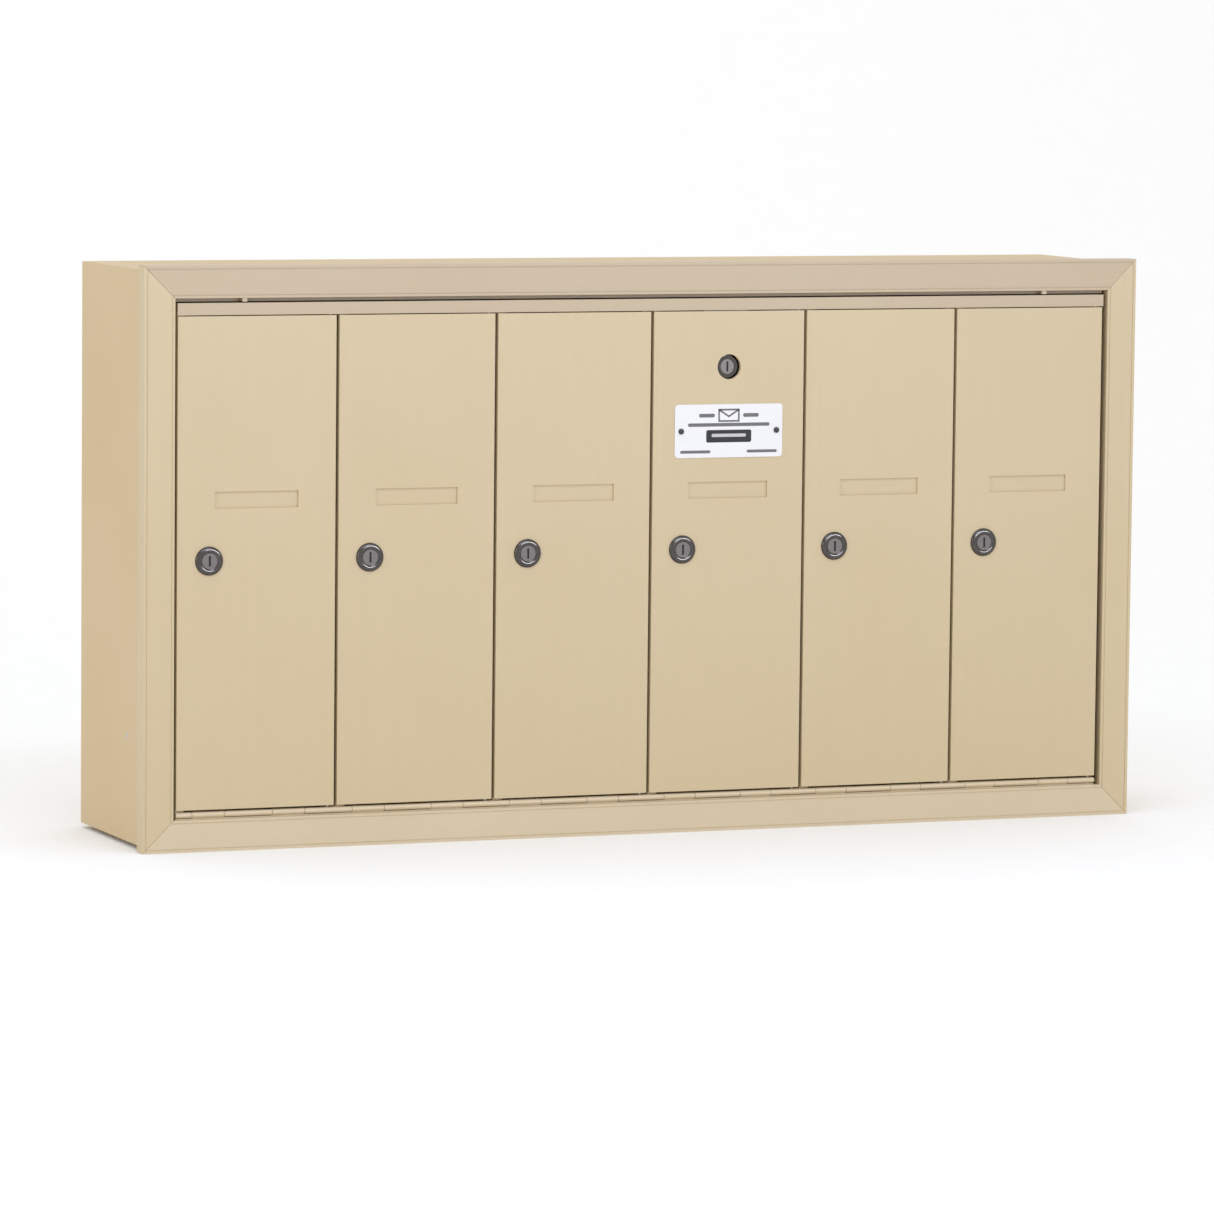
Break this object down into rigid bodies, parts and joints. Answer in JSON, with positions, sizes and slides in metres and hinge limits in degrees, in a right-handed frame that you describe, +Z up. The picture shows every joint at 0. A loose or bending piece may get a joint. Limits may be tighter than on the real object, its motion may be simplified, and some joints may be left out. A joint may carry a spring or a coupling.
{
  "type": "cluster mailbox unit",
  "caption": "Recessed wall mailbox unit: a row of tall hinged tenant doors with cam locks, hung in a drop-down master door over sheet-metal compartments.",
  "frame": {"origin": "middle of the unit's footprint in width and depth, level with the bottom edge of the trim", "axes": "+X along the row of doors to the viewer's right, +Y into the wall, +Z up; the doors face -Y"},
  "size_m": [0.896, 0.1854, 0.4824],
  "materials": {
    "tan_powder_coat": "satin powder coat",
    "zinc_steel": "zinc plated",
    "lock_chrome": "polished",
    "lock_brass": "machined",
    "nylon": "moulded",
    "label_white": "printed enamel",
    "blackened_steel": "blackened"
  },
  "bodies": {
    "enclosure": {"back_panel": "tan_powder_coat", "top_panel": "tan_powder_coat", "bottom_panel": "tan_powder_coat", "left_side_panel": "tan_powder_coat", "right_side_panel": "tan_powder_coat", "trim_top": "tan_powder_coat", "trim_bottom": "tan_powder_coat", "trim_left": "tan_powder_coat", "trim_right": "tan_powder_coat", "trim_corner_keys": "zinc_steel", "partitions": "tan_powder_coat", "enclosure_rivets": "zinc_steel", "hinge_fixed_leaf": "tan_powder_coat", "hinge_leaf_rivets": "zinc_steel", "hinge_pin": "zinc_steel", "master_strike": "blackened_steel", "stay_studs": "zinc_steel", "top_bumpers": "nylon"},
    "master_door": {"master_bottom_bar": "tan_powder_coat", "master_top_rail": "tan_powder_coat", "master_left_stile": "tan_powder_coat", "master_right_stile": "tan_powder_coat", "master_mullions": "tan_powder_coat", "master_frame_fasteners": "zinc_steel", "door_hinge_pins": "zinc_steel", "master_lock_bracket": "zinc_steel", "master_lock_housing": "lock_chrome"},
    "master_lock_barrel": {"master_lock_plug": "lock_chrome", "master_lock_cam": "zinc_steel"},
    "stay_left": {"stay_arm_left": "zinc_steel"},
    "stay_right": {"stay_arm_right": "zinc_steel"},
    "door_1": {"door_1_panel": "tan_powder_coat", "door_1_lock_housing": "lock_chrome"},
    "door_1_lock": {"door_1_lock_plug": "lock_chrome", "door_1_lock_cam": "zinc_steel"},
    "door_2": {"door_2_panel": "tan_powder_coat", "door_2_lock_housing": "lock_chrome"},
    "door_2_lock": {"door_2_lock_plug": "lock_chrome", "door_2_lock_cam": "zinc_steel"},
    "door_3": {"door_3_panel": "tan_powder_coat", "door_3_lock_housing": "lock_chrome"},
    "door_3_lock": {"door_3_lock_plug": "lock_chrome", "door_3_lock_cam": "zinc_steel"},
    "door_4": {"door_4_panel": "tan_powder_coat", "door_4_lock_housing": "lock_chrome", "label_plate": "label_white", "label_rivets": "blackened_steel"},
    "door_4_lock": {"door_4_lock_plug": "lock_chrome", "door_4_lock_cam": "zinc_steel"},
    "door_5": {"door_5_panel": "tan_powder_coat", "door_5_lock_housing": "lock_chrome"},
    "door_5_lock": {"door_5_lock_plug": "lock_chrome", "door_5_lock_cam": "zinc_steel"},
    "door_6": {"door_6_panel": "tan_powder_coat", "door_6_lock_housing": "lock_chrome"},
    "door_6_lock": {"door_6_lock_plug": "lock_chrome", "door_6_lock_cam": "zinc_steel"}
  },
  "joints": [
    {"name": "master_door_hinge", "type": "hinge", "parent": "enclosure", "child": "master_door", "pos_m": [0, -0.08785, 0.0306], "axis": [1, 0, 0], "range_deg": [0, 90]},
    {"name": "master_lock_turn", "type": "hinge", "parent": "master_door", "child": "master_lock_barrel", "pos_m": [0.06885, -0.06539, 0.394], "axis": [0, 1, 0], "range_deg": [0, 90]},
    {"name": "stay_left_pivot", "type": "hinge", "parent": "master_door", "child": "stay_left", "pos_m": [-0.4096, -0.07439, 0.10946], "axis": [1, 0, 0], "range_deg": [-45, 0]},
    {"name": "stay_right_pivot", "type": "hinge", "parent": "master_door", "child": "stay_right", "pos_m": [0.4076, -0.07439, 0.10946], "axis": [1, 0, 0], "range_deg": [-45, 0]},
    {"name": "door_1_hinge", "type": "hinge", "parent": "master_door", "child": "door_1", "pos_m": [-0.2861, -0.08525, 0.2402], "axis": [0, 0, 1], "range_deg": [0, 105]},
    {"name": "door_1_lock_turn", "type": "hinge", "parent": "door_1", "child": "door_1_lock", "pos_m": [-0.3913, -0.06919, 0.2402], "axis": [0, 1, 0], "range_deg": [0, 90]},
    {"name": "door_2_hinge", "type": "hinge", "parent": "master_door", "child": "door_2", "pos_m": [-0.1464, -0.08525, 0.2402], "axis": [0, 0, 1], "range_deg": [0, 105]},
    {"name": "door_2_lock_turn", "type": "hinge", "parent": "door_2", "child": "door_2_lock", "pos_m": [-0.2516, -0.06919, 0.2402], "axis": [0, 1, 0], "range_deg": [0, 90]},
    {"name": "door_3_hinge", "type": "hinge", "parent": "master_door", "child": "door_3", "pos_m": [-0.0067, -0.08525, 0.2402], "axis": [0, 0, 1], "range_deg": [0, 105]},
    {"name": "door_3_lock_turn", "type": "hinge", "parent": "door_3", "child": "door_3_lock", "pos_m": [-0.1119, -0.06919, 0.2402], "axis": [0, 1, 0], "range_deg": [0, 90]},
    {"name": "door_4_hinge", "type": "hinge", "parent": "master_door", "child": "door_4", "pos_m": [0.133, -0.08525, 0.2402], "axis": [0, 0, 1], "range_deg": [0, 105]},
    {"name": "door_4_lock_turn", "type": "hinge", "parent": "door_4", "child": "door_4_lock", "pos_m": [0.0278, -0.06919, 0.2402], "axis": [0, 1, 0], "range_deg": [0, 90]},
    {"name": "door_5_hinge", "type": "hinge", "parent": "master_door", "child": "door_5", "pos_m": [0.2727, -0.08525, 0.2402], "axis": [0, 0, 1], "range_deg": [0, 105]},
    {"name": "door_5_lock_turn", "type": "hinge", "parent": "door_5", "child": "door_5_lock", "pos_m": [0.1675, -0.06919, 0.2402], "axis": [0, 1, 0], "range_deg": [0, 90]},
    {"name": "door_6_hinge", "type": "hinge", "parent": "master_door", "child": "door_6", "pos_m": [0.4124, -0.08525, 0.2402], "axis": [0, 0, 1], "range_deg": [0, 105]},
    {"name": "door_6_lock_turn", "type": "hinge", "parent": "door_6", "child": "door_6_lock", "pos_m": [0.3072, -0.06919, 0.2402], "axis": [0, 1, 0], "range_deg": [0, 90]}
  ],
  "couplings": [
    {"joint": "stay_left_pivot", "follows": "master_door_hinge", "ratio": -0.5},
    {"joint": "stay_right_pivot", "follows": "master_door_hinge", "ratio": -0.5}
  ]
}
